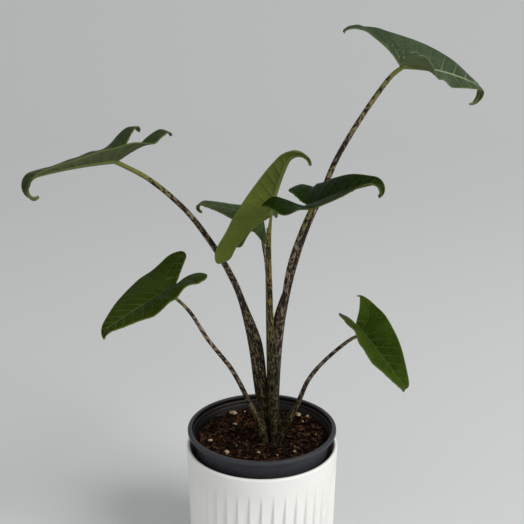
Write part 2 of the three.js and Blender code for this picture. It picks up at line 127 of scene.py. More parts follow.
# Each leaf: the stalk's route from soil to blade, its radii and its sheath (azimuth, top, wide, reach), then
# the blade. aim is the azimuth, elevation and roll of the midrib, and front its length before the stalk.
# half is the width of the left and the right half. flare shapes the margin and cleft the sinus edge, both
# between round (0) and flared (1). web is how far the lobes stay joined behind the stalk, and rise is how
# steeply both rise from there. bend is the midrib's, and tip is where it starts to hook and how far.
# left and right are the two halves: how steeply each rises sideways at FOLD_STOPS, its cross curl, and its
# lobe's length, droop of the end and extra rise. wave is the margin's height and count of waves.
LEAVES = {
    "middle": {
        "route": [
            (7, 1, 97), (7, 0.5, 118), (6.5, -1, 154), (7, -6, 200), (6, -12, 236), (5, -17, 270),
            (5, -21, 291), (6, -24, 309),
        ],
        "radii": (2.9, 1.8), "sheath": (90, 150, 135, 0.6), "aim": (305, 75, 42),
        "front": 71, "half": (24, 24), "flare": 1.3, "web": 2.5, "rise": 0, "bend": 20, "tip": (0.62, 150),
        "left": ((60, 60, 60, 60, 50, -20), 10, (48, 0, 0)),
        "right": ((72, 74, 75, 75, 75, 40), 10, (45, 10, 0)),
        "wave": (0.5, 2.5), "cleft": 0.85,
    },
    "back": {
        "route": [
            (8, 7, 97), (8, 7.5, 118), (6, 9, 150), (5, 13, 200), (4, 20, 248), (1, 28, 268), (-1, 34, 289),
        ],
        "radii": (2.2, 1.2), "sheath": (270, 175, 135, 1.2), "aim": (155, 6, 0),
        "front": 66, "half": (16, 16), "flare": 0.5, "web": 2, "rise": -50, "bend": 4, "tip": (0.76, 185),
        "left": ((-45, -40, -25, -4, 2, 0), 30, (14, 10, -25)),
        "right": ((10, 20, 25, 18, 10, 10), 30, (10, 90, 0)),
        "wave": (0.5, 2.5), "cleft": 0.5,
    },
    "tall": {
        "route": [
            (11.5, 3.5, 97), (11.5, 4, 118), (11, 4.5, 143), (13, 5, 186), (17, 8, 219), (24, 11, 252),
            (34, 16, 283), (46, 21, 310), (57, 27, 336), (75, 34, 366), (96, 41, 395), (108, 45, 405),
        ],
        "radii": (3.2, 1.7), "sheath": (200, 247, 205, 5), "aim": (42, -9, 20),
        "front": 134, "half": (31, 22), "flare": 1, "web": 2.5, "rise": 29, "bend": 20, "tip": (0.78, 175),
        "left": ((4, 20, 40, 38, 38, 0), 15, (40, 92, 0)),
        "right": ((50, 63, 69, 18, -30, 0), 40, (34, 25, 0)),
        "wave": (0.6, 3), "cleft": 1.1,
    },
    "right": {
        "route": [
            (10.5, -3, 97), (10.5, -4, 118), (10, -7, 148), (12, -13, 186), (15, -19, 222), (20, -29, 266),
            (28, -37, 297), (37, -45, 323),
        ],
        "radii": (2.8, 1.6), "sheath": (165, 232, 190, 3.5), "aim": (-37, 33, 0),
        "front": 71, "half": (22, 22), "flare": 0.7, "web": 3, "rise": 50, "bend": 16, "tip": (0.74, 160),
        "left": ((16, 28, 44, 47, 48, 20), 20, (32, 50, -3)),
        "right": ((2, 12, 12, 0, -4, 20), 25, (34, 40, 0)),
        "wave": (0.8, 2.5), "cleft": 0.15,
    },
    "left": {
        "route": [
            (4, 3, 97), (2.5, 2, 118), (-3, -1, 154), (-8, -3, 194), (-16, -3, 232), (-26, -4, 257),
            (-40, -8, 283), (-57, -18, 310), (-81, -32, 337), (-105, -45, 355),
        ],
        "radii": (3.3, 1.6), "sheath": (0, 238, 190, 6), "aim": (225, 7, 0),
        "front": 95, "half": (24, 24), "flare": 0.45, "web": 2.5, "rise": 36, "bend": 12,
        "tip": (0.67, 197),
        "left": ((0, 20, 48, 44, 35, 20), 12, (46, 120, 14)),
        "right": ((0, 8, 15, 8, 0, 0), 20, (48, 115, 6)),
        "wave": (0.6, 2.5), "cleft": 0.45,
    },
    "low_right": {
        "route": [
            (13, -4, 97), (15, -5, 112), (22, -12, 133), (29, -20, 154), (36, -28, 176), (48, -36, 196),
            (66, -45, 217), (76, -50, 223),
        ],
        "radii": (2.5, 1.1), "sheath": (135, 152, 122, 4.1), "aim": (-50, -30, 25),
        "front": 57, "half": (22, 21), "flare": 0.25, "web": 11, "rise": 3, "bend": 10, "tip": (0.83, 190),
        "left": ((10, 12, 15, 12, 10, 0), 25, (30, 15, 0)),
        "right": ((66, 74, 76, 64, 48, 30), 30, (20, 15, 18)),
        "wave": (0.7, 2.5), "cleft": 0.5,
    },
    "low_left": {
        "route": [
            (2, -4, 97), (0, -6, 112), (-4, -11, 132), (-11, -19, 154), (-23, -30, 185), (-40, -42, 215),
            (-54, -53, 244), (-69, -60, 262),
        ],
        "radii": (2.6, 1.1), "sheath": (45, 150, 120, 4.6), "aim": (226, -10, 0),
        "front": 66, "half": (26, 27), "flare": 0.25, "web": 9, "rise": 12, "bend": 5, "tip": (0.82, 90),
        "left": ((28, 42, 49, 38, 14, -5), 50, (25, 30, 8)),
        "right": ((25, 22, 19, 17, 16, 5), 25, (37, 10, 0)),
        "wave": (0.7, 2.5), "cleft": 0.2,
    },
}


def lerp(a, b, share):
    return a + (b - a) * share


def clamp(value, low=0.0, high=1.0):
    return min(max(value, low), high)


def ease(share):
    share = clamp(share)
    return share * share * (3 - 2 * share)


def smooth_point(points, share):
    """A point of the smooth curve through evenly numbered points, at a share of the way."""
    last = len(points) - 1
    at = clamp(share) * last
    i = min(int(at), last - 1)
    t = at - i
    start, end = points[i], points[i + 1]
    before = points[i - 1] if i > 0 else 2 * start - end
    after = points[i + 2] if i + 2 <= last else 2 * end - start
    leave, arrive = (end - before) / 2, (after - start) / 2
    bend = 3 * (end - start) - 2 * leave - arrive
    close = 2 * (start - end) + leave + arrive
    return start + leave * t + bend * t**2 + close * t**3


# Blades


def followed_path(length, pitch_at):
    """Steps of (forward, up, pitch) along a length whose pitch changes with the share of the way."""
    forward = up = 0.0
    slices = BLADE["slices"]
    path = [(0.0, 0.0, pitch_at(0.0))]
    for i in range(slices):
        pitch = pitch_at((i + 0.5) / slices)
        forward += math.cos(pitch) * length / slices
        up += math.sin(pitch) * length / slices
        path.append((forward, up, pitch_at((i + 1) / slices)))
    return path


def path_point(path, share):
    """The step of a path at a share of its length."""
    at = clamp(share) * (len(path) - 1)
    i = min(int(at), len(path) - 2)
    return [lerp(a, b, at - i) for a, b in zip(path[i], path[i + 1])]


class Half:
    """One half of a blade: hand is 1 for the left half and -1 for the right one."""

    def __init__(self, leaf, hand):
        self.leaf = leaf
        self.hand = hand
        self.fold, self.curl, (self.lobe, self.droop, self.lift) = leaf["left" if hand > 0 else "right"]
        self.width = leaf["half"][0 if hand > 0 else 1]
        self.margin = [self.outline_knot(row, leaf["flare"]) for row in MARGIN]
        notch = [self.outline_knot(row, leaf["cleft"], leaf["web"]) for row in SINUS]
        self.sinus = [self.margin[0], *notch, Vector((-leaf["web"], 0, 0))]
        start, curl = leaf["tip"]
        power = BLADE["tip_power"]

        def front_pitch(s):
            return -math.radians(leaf["bend"] * s + curl * clamp((s - start) / (1 - start)) ** power)

        def lobe_pitch(s):
            risen = min(1.0, s * self.lobe / BLADE["rise_over"])
            in_end = clamp((s - BLADE["droop_from"]) / (1 - BLADE["droop_from"]))
            lifted = clamp((s * self.lobe - leaf["web"]) / BLADE["rise_over"])
            return math.radians(leaf["rise"] * risen + self.lift * lifted - self.droop * in_end**power)

        self.front_path = followed_path(leaf["front"], front_pitch)
        self.lobe_path = followed_path(self.lobe, lobe_pitch)

    def outline_knot(self, row, flare, joined=0.0):
        """A point of the flat outline: along the midrib beyond the joined length, and out from it."""
        share, flared, rounded = row
        length = self.lobe - joined if share < 0 else self.leaf["front"]
        return Vector((share * length - joined, max(0.0, lerp(rounded, flared, flare)) * self.width, 0))

    def flat_point(self, row, across):
        """Where a row of the grid lies on the flat blade."""
        if row <= BLADE["lobe_rows"]:
            share = row / BLADE["lobe_rows"]
            inner = smooth_point(self.sinus, share)
            margin = smooth_point(self.margin, share * LOBE_KNOTS)
        else:
            forward = (row - BLADE["lobe_rows"]) / BLADE["front_rows"]
            rib_share = 1 - (1 - forward) ** BLADE["tip_rows"]
            inner = Vector((lerp(-self.leaf["web"], self.leaf["front"], rib_share), 0, 0))
            margin = smooth_point(self.margin, lerp(LOBE_KNOTS, 1, forward))
            margin.y = max(margin.y, BLADE["tip_width"])
        point = inner.lerp(margin, across)
        return point.x, max(0.0, point.y)

    def fold_angle(self, share):
        """How steeply the half rises sideways at a share of the blade's length."""
        last = len(FOLD_STOPS) - 1
        stop = next((i for i, at in enumerate(FOLD_STOPS) if at >= share), last)
        stop = max(stop, 1)
        within = (share - FOLD_STOPS[stop - 1]) / (FOLD_STOPS[stop] - FOLD_STOPS[stop - 1])
        return math.radians(lerp(self.fold[stop - 1], self.fold[stop], ease(within)))

    def place(self, x, y):
        """A point of the flat blade on the folded, curled and waved one, in the leaf's own frame."""
        leaf = self.leaf
        share = clamp(x / self.lobe if x < 0 else x / leaf["front"], -1, 1)
        if x < 0:
            back, up, _ = path_point(self.lobe_path, -share)
            forward, pitch = -back, 0.0
        else:
            forward, up, pitch = path_point(self.front_path, share)
        fold = self.fold_angle(share)
        curl = math.radians(self.curl)
        outward = y / self.width
        width = self.width / curl * (math.sin(fold) - math.sin(fold - curl * outward))
        lift = self.width / curl * (math.cos(fold - curl * outward) - math.cos(fold))
        height, count = leaf["wave"]
        phase = count * (share + 1) / 2 + (0.25 if self.hand > 0 else 0)
        lift += height * outward**2 * math.sin(2 * math.pi * phase)
        return Vector((forward - math.sin(pitch) * lift, self.hand * width, up + math.cos(pitch) * lift))


def blade_frame(leaf):
    """The leaf's own frame: forward along the midrib, then leftward and upward, at the stalk's end."""
    azimuth, elevation, roll = (math.radians(angle) for angle in leaf["aim"])
    level = math.cos(elevation)
    forward = Vector((math.cos(azimuth) * level, math.sin(azimuth) * level, math.sin(elevation)))
    leftward = Vector((0, 0, 1)).cross(forward).normalized()
    upward = forward.cross(leftward)
    rolled_left = leftward * math.cos(roll) + upward * math.sin(roll)
    rolled_up = upward * math.cos(roll) - leftward * math.sin(roll)
    turn = Matrix((forward, rolled_left, rolled_up)).transposed().to_4x4()
    return Matrix.Translation(Vector(leaf["route"][-1])) @ turn


# Veins, in the flat blade's millimetres: each side vein's start on the midrib, as a share of the front
# length, and its slope to the tip
SIDE_VEINS = [
    (0.0, -0.3), (0.01, 0.25), (0.1, 0.55), (0.22, 0.7), (0.35, 0.8), (0.48, 0.9), (0.61, 1.0),
    (0.73, 1.1), (0.84, 1.25),
]
VEIN_BEND = 0.006
VEIN_WIDTH = 0.7
VEIN_SINK = 0.16
SIDE_VEIN_SHARE = 0.7
RIB_WIDTH = 1.25
EDGE_WIDTH = 0.9
QUILT_WIDTH = 3.2
QUILT_MARGIN = 4

# A lobe's own rib: its place across the lobe, where it gets there, and the veins that leave it
LOBE_RIB_ACROSS = 0.42
LOBE_RIB_TURN = 0.35
LOBE_RIB_WEIGHT = 0.8
LOBE_VEINS = (0.22, 0.42, 0.62, 0.8)
LOBE_VEIN_SLOPE = 0.75


def hump(distance, width):
    return math.exp(-((distance / width) ** 2))


def vein_distances(half, x, y, lobe_middle):
    """How far a flat point is from the midrib and from the nearest side vein."""
    leaf = half.leaf
    rib = math.hypot(min(x + leaf["web"], 0), y)
    reaches = []
    for start, slope in SIDE_VEINS:
        at = start * leaf["front"] + slope * y + VEIN_BEND * y * y
        reaches.append(abs(x - at) / math.hypot(1, slope + 2 * VEIN_BEND * y))
    if x < 0:
        course = lobe_middle * ease(-x / half.lobe / LOBE_RIB_TURN)
        reaches.append(LOBE_RIB_WEIGHT * abs(y - course))
        for start in LOBE_VEINS:
            at = -start * half.lobe - LOBE_VEIN_SLOPE * abs(y - course)
            reaches.append(abs(x - at) / math.hypot(1, LOBE_VEIN_SLOPE))
    return rib, min(reaches)


def blade_marks(half, row, across, quilt_rise):
    """What a point of the grid carries: its flat place, and its shares of vein, margin and swelling."""
    leaf = half.leaf
    x, y = half.flat_point(row, across)
    inner, margin = half.flat_point(row, 0), half.flat_point(row, 1)
    rib, side = vein_distances(half, x, y, lerp(inner[1], margin[1], LOBE_RIB_ACROSS))
    forward = clamp(x / leaf["front"])
    outward = clamp(y / half.width)
    on_rib = hump(rib, RIB_WIDTH * (1.1 - 0.8 * forward))
    on_side = hump(side, VEIN_WIDTH * (1.2 - 0.6 * outward)) * (1 - 0.55 * outward)
    gap = math.hypot(margin[0] - inner[0], margin[1] - inner[1])
    from_edge = gap * (1 - across if row > BLADE["lobe_rows"] else min(across, 1 - across))
    calm = clamp(from_edge / QUILT_MARGIN) * clamp((1 - forward) * 4)
    soft = max(hump(rib, QUILT_WIDTH), hump(side, QUILT_WIDTH))
    swelling = calm * (quilt_rise * (1 - soft) - VEIN_SINK * max(on_rib, on_side))
    return (x, y), max(on_rib, SIDE_VEIN_SHARE * on_side), hump(from_edge, EDGE_WIDTH), swelling


def blade_sheet(leaf, quilt_rise):
    """Both halves of a blade as one open sheet that carries its flat place and its veins."""
    rows = BLADE["lobe_rows"] + BLADE["front_rows"]
    sheet = bmesh.new()
    flat = sheet.verts.layers.float_vector.new("flat")
    vein = sheet.verts.layers.float.new("vein")
    edge = sheet.verts.layers.float.new("edge")
    swell = sheet.verts.layers.float.new("swell")
    for hand in (1, -1):
        half = Half(leaf, hand)
        made = bmesh.ops.create_grid(sheet, x_segments=BLADE["across"], y_segments=rows, size=0.5)
        for vert in made["verts"]:
            row = round((vert.co.y + 0.5) * rows)
            (x, y), vert[vein], vert[edge], vert[swell] = blade_marks(half, row, vert.co.x + 0.5, quilt_rise)
            vert[flat] = (x, y * hand, 0)
            vert.co = half.place(x, y)
        if hand > 0:
            faces = {face for vert in made["verts"] for face in vert.link_faces}
            bmesh.ops.reverse_faces(sheet, faces=list(faces))
    bmesh.ops.remove_doubles(sheet, verts=sheet.verts, dist=1e-3)
    sheet.normal_update()
    moves = [(vert, vert.normal * vert[swell]) for vert in sheet.verts]
    for vert, move in moves:
        vert.co += move
    bmesh.ops.transform(sheet, matrix=Matrix.Scale(MM, 4) @ blade_frame(leaf), verts=sheet.verts)
    return sheet


def finished_piece(name, shape, materials, node):
    """Turns a bmesh into a smooth named piece that stands for a CAD node."""
    mesh = bpy.data.meshes.new(name)
    shape.to_mesh(mesh)
    shape.free()
    mesh.shade_smooth()
    for material in materials:
        mesh.materials.append(material)
    piece = bpy.data.objects.new(name, mesh)
    bpy.context.scene.collection.objects.link(piece)
    if node:
        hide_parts(node)
    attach(piece, "root")
    return piece


def blade_piece(name, sheet, materials):
    """The sheet as a solid blade: thicker along its veins, with the under side's own material."""
    piece = finished_piece(f"{name}_blade", sheet, materials, f"leaf_{name}")
    thickest = BLADE["thickness"] + BLADE["rib"]
    ribs = piece.vertex_groups.new(name="thickness")
    for i, row in enumerate(piece.data.attributes["vein"].data):
        ribs.add([i], (BLADE["thickness"] + BLADE["rib"] * row.value**2) / thickest, "REPLACE")
    wall = piece.modifiers.new("thickness", "SOLIDIFY")
    wall.thickness = thickest * MM
    wall.offset = -1
    wall.use_even_offset = False
    wall.vertex_group = "thickness"
    wall.material_offset = 1


# Stalks


def wing_reach(sheath, height):
    """How far the sheath's wing stands out from the stalk at a height."""
    _, top, wide, reach = sheath
    if height > wide:
        return reach * ease((top - height) / (top - wide))
    share = ease((height - STALK["foot"]) / (wide - STALK["foot"]))
    return reach * lerp(STALK["wing_at_foot"], 1, share)


def stalk_shape(leaf):
    """A round stalk along its route, with the sheath's wing on one side and its top pressed to the blade."""
    route = [Vector(point) for point in leaf["route"]]
    length = sum((b - a).length for a, b in zip(route, route[1:]))
    azimuth = math.radians(leaf["sheath"][0])
    facing = Vector((math.cos(azimuth), math.sin(azimuth), 0))
    from_blade = blade_frame(leaf)
    to_blade = from_blade.inverted()
    step = 1e-3
    shape = bmesh.new()
    straight = shape.verts.layers.float_vector.new("straight")
    wing_layer = shape.verts.layers.float.new("wing")
    bmesh.ops.create_cone(shape, cap_ends=True, segments=STALK["sides"], radius1=1, radius2=1, depth=1)
    upright = [edge for edge in shape.edges if abs(edge.verts[0].co.z - edge.verts[1].co.z) > 0.5]
    bmesh.ops.subdivide_edges(shape, edges=upright, cuts=STALK["rings"] - 1, use_grid_fill=True)
    for vert in shape.verts:
        share = vert.co.z + 0.5
        centre = smooth_point(route, share)
        tangent = (smooth_point(route, share + step) - smooth_point(route, share - step)).normalized()
        wingward = (facing - tangent * facing.dot(tangent)).normalized()
        sideways = tangent.cross(wingward)
        across, toward = vert.co.x, vert.co.y
        wing = wing_reach(leaf["sheath"], centre.z)
        radius = lerp(*leaf["radii"], share) + wing * max(0.0, toward) ** STALK["wing_power"]
        ridges = STALK["ridge"] * math.sin(STALK["ridges"] * math.atan2(toward, across))
        ridges += STALK["uneven"] * noise.noise(centre * STALK["uneven_scale"])
        seam = STALK["seam"] * clamp(wing / 2) * hump(across, STALK["seam_width"]) * (toward > 0)
        radius += ridges - seam
        radius += STALK["collar"] * hump(length * (1 - share), STALK["collar_width"])
        place = centre + sideways * across * radius + wingward * toward * radius
        if share > STALK["pressed_from"]:
            local = to_blade @ place
            local.z = min(local.z, -STALK["under_blade"])
            place = from_blade @ local
        vert[straight] = (across * radius, toward * radius, share * length)
        vert[wing_layer] = clamp(wing / 3) * hump(across, 0.3) * (toward > 0)
        vert.co = place * MM
    return shape


# Pots


def arc(centre, radius, start, end, steps):
    """Points of a round corner in a profile, from one angle to another in degrees."""
    angles = [math.radians(lerp(start, end, i / steps)) for i in range(steps + 1)]
    return [(centre[0] + radius * math.cos(a), centre[1] + radius * math.sin(a)) for a in angles]


def spun(profile, steps):
    """A closed solid of revolution round Z from (radius, height) points that start and end on the axis."""
    shape = bmesh.new()
    points = [shape.verts.new((radius * MM, 0, height * MM)) for radius, height in profile]
    edges = [shape.edges.new(pair) for pair in zip(points, points[1:])]
    bmesh.ops.spin(
        shape,
        geom=points + edges,
        angle=2 * math.pi,
        steps=steps,
        axis=(0, 0, 1),
        cent=(0, 0, 0),
        use_merge=True,
    )
    bmesh.ops.remove_doubles(shape, verts=shape.verts, dist=1e-7)
    bmesh.ops.recalc_face_normals(shape, faces=shape.faces)
    return shape


def cover_radius(height):
    return COVER["rim_radius"] - (COVER["height"] - height) * math.tan(math.radians(COVER["taper"]))


def pleat_share(angle, depth):
    """Depth of a pleat round the pot: it sinks slowly from its ridge and rises steeply to the next."""
    phase = (angle / (2 * math.pi) * COVER["pleats"] + 1e-4) % 1
    sinking = 1 - lerp(*COVER["pleat_step"], depth / COVER["pleat_depth"])
    if phase < sinking:
        return phase / sinking
    return 1 - ease((phase - sinking) / (1 - sinking))


def pleat_depth(height):
    """Full depth of the pleats at a height: they deepen below the plain band and end at the foot."""
    start = COVER["height"] - COVER["band"]
    deepen = clamp((start - height) / COVER["pleat_run"]) ** COVER["pleat_power"]
    end = clamp((height - COVER["foot"]) / COVER["pleat_end"])
    return COVER["pleat_depth"] * deepen * ease(end)


def cover_pot_shape():
    height, wall, floor, corner = COVER["height"], COVER["wall"], COVER["floor"], COVER["foot_round"]
    rim_round = wall / 2
    profile = [(0, 0), (cover_radius(0) - COVER["underside_inset"], 0)]
    profile += arc((cover_radius(0) - corner, corner), corner, -90, 0, 6)
    profile += [(cover_radius(z), z) for z in COVER["levels"]]
    profile += arc((cover_radius(height) - rim_round, height - rim_round), rim_round, 0, 180, 14)
    profile += [(cover_radius(z) - wall, z) for z in COVER["inner_levels"]]
    profile += [(cover_radius(floor) - wall - COVER["floor_inset"], floor), (0, floor)]
    shape = spun(profile, COVER["pleats"] * COVER["steps_a_pleat"])
    for vert in shape.verts:
        x, y, z = vert.co / MM
        radius = math.hypot(x, y)
        if radius > cover_radius(z) - 0.1 and z < COVER["pleats_below"]:
            depth = pleat_depth(z)
            shrink = 1 - depth * pleat_share(math.atan2(y, x) + math.pi, depth) / radius
            vert.co.x *= shrink
            vert.co.y *= shrink
    return shape


def nursery_inner_radius(height):
    share = (height - NURSERY["foot"]) / (NURSERY["top"] - NURSERY["lip_height"] - NURSERY["foot"])
    return lerp(NURSERY["foot_radius"], NURSERY["wall_radius"], share) - NURSERY["wall"]


def nursery_pot_shape():
    """The thin pot with its rolled lip, and with a mark on every point of its inner side, where the material
    paints shade.
    """
    top, lip, wall, foot = NURSERY["top"], NURSERY["lip_radius"], NURSERY["wall"], NURSERY["foot"]
    under, outer = NURSERY["under_round"], NURSERY["outer_round"]
    inner, neck = NURSERY["inner_round"], NURSERY["neck_round"]
    lip_inner = lip - NURSERY["lip_width"]
    under_lip = top - NURSERY["lip_height"]
    shelf = top - NURSERY["shelf"]
    profile = [(0, foot), (NURSERY["foot_radius"] - 2, foot), (NURSERY["foot_radius"], foot + 1.5)]
    profile += [(NURSERY["wall_radius"] - 0.4, under_lip - 3), (NURSERY["wall_radius"], under_lip)]
    profile += arc((lip - under, under_lip + under), under, -90, 0, 5)
    profile += arc((lip - outer, top - outer), outer, 0, 90, 7)
    profile += arc((lip_inner + inner, top - inner), inner, 90, 180, 6)
    profile += arc((lip_inner - neck, under_lip - 0.4), neck, 60, 90, 2)[::-1]
    profile += [(nursery_inner_radius(shelf) + 0.5, shelf + 0.7)]
    profile += [(nursery_inner_radius(z), z) for z in (shelf, 60, foot + wall)]
    profile += [(0, foot + wall)]
    shape = spun(profile, NURSERY["steps"])
    shaded_inside = shape.verts.layers.float.new("shaded_inside")
    for vert in shape.verts:
        x, y, z = vert.co / MM
        reach = nursery_inner_radius(z) + wall / 2 if z < under_lip - 0.1 else lip_inner + 0.3
        vert[shaded_inside] = float(z > foot + wall / 2 and math.hypot(x, y) < reach)
    return shape


# Soil

# What is raised on the soil: its scale, its height and, for packed grains, the level that it rises from
LUMPS = (0.3, 1.7, 0.35)
CRUMBS = (0.62, 1.2, 0.3)
GRIT = (1.3, 0.4)


def soil_height(x, y):
    """The solid's gentle top, with its edge heaped a little against the pot."""
    heap_x, heap_y = SOIL["heap_at"]
    heap = SOIL["heap"] * math.exp(-((x - heap_x) ** 2 + (y - heap_y) ** 2) / SOIL["heap_spread"] ** 2)
    swell = math.sin(x / 6.1 + 1) * math.cos(y / 5.3) + 0.6 * math.sin(x / 3.3 - y / 4.1)
    from_wall = nursery_inner_radius(SOIL["level"]) - math.hypot(x, y)
    edge = SOIL["edge_rise"] * ease(1 - from_wall / SOIL["edge_width"])
    return SOIL["level"] + heap + edge + SOIL["swell"] * swell


def cells(x, y, layer, scale, rise, level):
    """Height of rounded grains packed side by side, from the distance to the nearest centre."""
    return rise * (level - noise.voronoi(Vector((x * scale, y * scale, layer)))[0][0])


def crumb_height(x, y):
    """Soil height with crumbs of a few sizes raised on it."""
    scale, rise = GRIT
    grit = noise.noise(Vector((x * scale, y * scale, 9)))
    return soil_height(x, y) + cells(x, y, 0, *LUMPS) + cells(x, y, 5, *CRUMBS) + rise * grit


def soil_shape():
    bottom = NURSERY["foot"] + NURSERY["wall"] + SOIL["gap"]
    rim = nursery_inner_radius(SOIL["level"]) - SOIL["gap"]
    rings = SOIL["rings"]
    profile = [(0, bottom), (nursery_inner_radius(bottom) - SOIL["gap"], bottom)]
    profile += [(rim, SOIL["level"] - SOIL["shoulder"])]
    profile += [(rim * i / rings, SOIL["level"]) for i in range(rings, -1, -1)]
    shape = spun(profile, SOIL["steps"])
    for vert in shape.verts:
        x, y, z = vert.co / MM
        if z > SOIL["level"] - 1:
            vert.co.z = crumb_height(x, y) * MM
    return shape


# Loose grains: how many, their sizes, how each is stretched and how deep it sinks, how rough it is, the seed
# of their places and the ground that they leave clear round the crown
GRAINS = {
    "crumbs": {
        "count": 950, "sizes": (0.35, 1.5), "stretch": (1.2, 1.0, 0.8), "sink": 0.15, "roughness": 0.9,
        "seed": 11, "clear": 9,
    },
    "bark": {
        "count": 260, "sizes": (0.7, 2.7), "stretch": (1.9, 0.8, 0.4), "sink": 0.0, "roughness": 0.6,
        "seed": 23, "clear": 10,
    },
    "fibres": {
        "count": 110, "sizes": (0.5, 0.9), "stretch": (5.5, 0.4, 0.4), "sink": -0.4, "roughness": 0.4,
        "seed": 41, "clear": 9,
    },
}
GRAIN_LIFT = 0.9
GRAIN_TIP = 0.5
GRAIN_MARGIN = 1.5

# Pale chips on the soil: x, y and half width, and what they have in common
CHIPS = [
    (-24.5, 43, 2.5), (-14.5, 46, 1), (-22.5, 29.5, 1.5), (-42, -8.5, 1.5),
    (-28, -21.5, 2.5), (-20, -12, 1), (-3, -18, 1.5), (26.5, -11.5, 1.5),
    (26, -20, 1.5), (30.5, 41, 2.5), (38, 35, 1.5), (34, 30, 1),
    (-33, 20, 1), (12, -24, 1), (44, 8, 1), (-5, -30, 1),
]
CHIP_FORM = {"stretch": (1.35, 0.85, 0.6), "sink": 0.2, "roughness": 0.7, "detail": 2}
CHIP_SEED = 31


def seeded_draws(seed):
    """An endless run of numbers between 0 and 1 that is the same each time."""
    state = seed
    while True:
        state = state * 16807 % 2147483647
        yield state / 2147483647


def grain_place(draw, reach, clear):
    """A place on the soil that is clear of the crown."""
    while True:
        radius = reach * math.sqrt(next(draw))
        angle = 2 * math.pi * next(draw)
        x, y = radius * math.cos(angle), radius * math.sin(angle)
        if math.hypot(x - CROWN[0], y - CROWN[1]) >= clear:
            return x, y


def add_grain(shape, draw, place, size, stretch, sink, roughness, detail=1):
    """A rough pebble, stretched, turned and half sunk where it lies."""
    made = bmesh.ops.create_icosphere(shape, subdivisions=detail, radius=size)
    rough_from = Vector((place[0], place[1], size * 7))
    turn = Matrix.Rotation(2 * math.pi * next(draw), 4, "Z")
    tip = Matrix.Rotation(GRAIN_TIP * (next(draw) - 0.5), 4, "X")
    tip = tip @ Matrix.Rotation(GRAIN_TIP * (next(draw) - 0.5), 4, "Y")
    centre = Vector((place[0], place[1], soil_height(*place) + GRAIN_LIFT - sink))
    for vert in made["verts"]:
        rough = 1 + roughness * noise.noise(vert.co * (1.7 / size) + rough_from)
        spot = Vector(a * b for a, b in zip(vert.co, stretch)) * rough
        vert.co = turn @ tip @ spot + centre
        vert.co *= MM


def grains_shape(count, sizes, stretch, sink, roughness, seed, clear):
    """Many small grains of one kind, strewn over the soil."""
    draw = seeded_draws(seed)
    reach = nursery_inner_radius(SOIL["level"]) - GRAIN_MARGIN
    shape = bmesh.new()
    for _ in range(count):
        size = lerp(*sizes, next(draw) ** 2)
        add_grain(shape, draw, grain_place(draw, reach, clear), size, stretch, sink, roughness)
    return shape


def chips_shape():
    """The pale chips that lie on top, each at its own place."""
    draw = seeded_draws(CHIP_SEED)
    shape = bmesh.new()
    for x, y, size in CHIPS:
        add_grain(shape, draw, (x, y), size, **CHIP_FORM)
    return shape


# Shader building


def feed(tree, socket, value):
    """Sets an input to a number or colour, or links an output to it."""
    if isinstance(value, bpy.types.NodeSocket):
        tree.links.new(value, socket)
    elif socket.type == "RGBA":
        socket.default_value = (*value, 1)
    else:
        socket.default_value = value


def put(tree, kind, settings=None, **values):
    made = tree.nodes.new(kind)
    for name, value in (settings or {}).items():
        setattr(made, name, value)
    for name, value in values.items():
        feed(tree, made.inputs[name.replace("_", " ")], value)
    return made


def calc(tree, operation, *values):
    made = put(tree, "ShaderNodeMath", {"operation": operation})
    for socket, value in zip(made.inputs, values):
        feed(tree, socket, value)
    return made.outputs[0]


def blend(tree, share, first, second):
    made = put(tree, "ShaderNodeMix", {"data_type": "RGBA"})
    feed(tree, made.inputs[0], share)
    feed(tree, made.inputs[6], first)
    feed(tree, made.inputs[7], second)
    return made.outputs[2]


def fade(tree, value, low, high, start=0.0, end=1.0):
    """A smooth step from start to end as a value goes from low to high."""
    made = put(tree, "ShaderNodeMapRange", {"interpolation_type": "SMOOTHSTEP"})
    for socket, number in zip(made.inputs, (value, low, high, start, end)):
        feed(tree, socket, number)
    return made.outputs[0]


def cloud(tree, where, scale=1.0, detail=3.0, roughness=0.5, distortion=0.0):
    made = put(tree, "ShaderNodeTexNoise", Vector=where, Scale=scale, Detail=detail)
    feed(tree, made.inputs["Roughness"], roughness)
    feed(tree, made.inputs["Distortion"], distortion)
    return made.outputs["Fac"]


def stretched(tree, where, scale):
    return put(tree, "ShaderNodeMapping", Vector=where, Scale=scale).outputs[0]


def attribute(tree, name, output):
    made = put(tree, "ShaderNodeAttribute", {"attribute_type": "GEOMETRY", "attribute_name": name})
    return made.outputs[output]


def object_place(tree):
    """Object coordinates in millimetres."""
    where = put(tree, "ShaderNodeTexCoord").outputs["Object"]
    return stretched(tree, where, (1 / MM, 1 / MM, 1 / MM))


def tone(red, green, blue):
    """A colour from the 0 to 255 values that a screen shows."""

    def linear(value):
        value /= 255
        return value / 12.92 if value <= 0.04045 else ((value + 0.055) / 1.055) ** 2.4

    return linear(red), linear(green), linear(blue)


def effect(name, inputs, outputs):
    """An empty node group with named inputs, given with their starting values, and named outputs."""
    tree = bpy.data.node_groups.new(name, "ShaderNodeTree")
    for label, start in inputs.items():
        kind = "NodeSocketColor" if isinstance(start, tuple) else "NodeSocketFloat"
        socket = tree.interface.new_socket(label, in_out="INPUT", socket_type=kind)
        socket.default_value = (*start, 1) if isinstance(start, tuple) else start
    for label, kind in outputs.items():
        tree.interface.new_socket(label, in_out="OUTPUT", socket_type=f"NodeSocket{kind}")
    return tree, tree.nodes.new("NodeGroupInput").outputs, tree.nodes.new("NodeGroupOutput").inputs


def placed(tree, group, **values):
    made = tree.nodes.new("ShaderNodeGroup")
    made.node_tree = group
    for name, value in values.items():
        feed(tree, made.inputs[name.replace("_", " ")], value)
    return made.outputs


